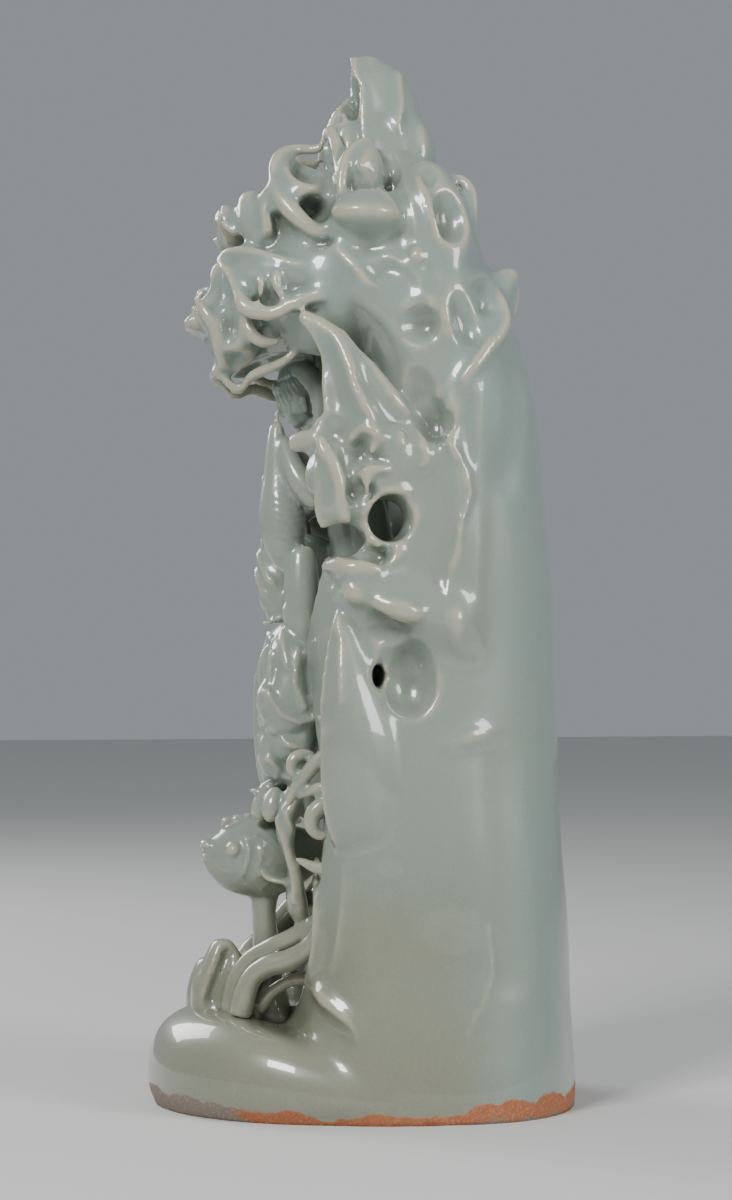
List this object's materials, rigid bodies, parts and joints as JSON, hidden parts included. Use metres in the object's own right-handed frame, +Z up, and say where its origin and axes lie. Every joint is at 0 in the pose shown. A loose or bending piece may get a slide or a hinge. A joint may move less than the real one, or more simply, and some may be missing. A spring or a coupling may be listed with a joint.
{
  "type": "celadon guanyin grotto figure",
  "caption": "Standing one-piece celadon ornament: a seated Guanyin in a rockwork grotto, a fish and waves below, a smooth rounded back and a flat foot.",
  "frame": {"origin": "middle of the foot, on the surface that the piece stands on", "axes": "+Z up to the peak, the figure faces -Y, +X is the figure's proper left"},
  "size_m": [0.1684, 0.1841, 0.455],
  "materials": {
    "celadon_glaze": "thick glossy grey-green celadon glaze over stoneware, paler on its crests, foot rim left bare and fired orange-red"
  },
  "bodies": {
    "root": {"guanyin_grotto": "celadon_glaze"}
  },
  "joints": []
}
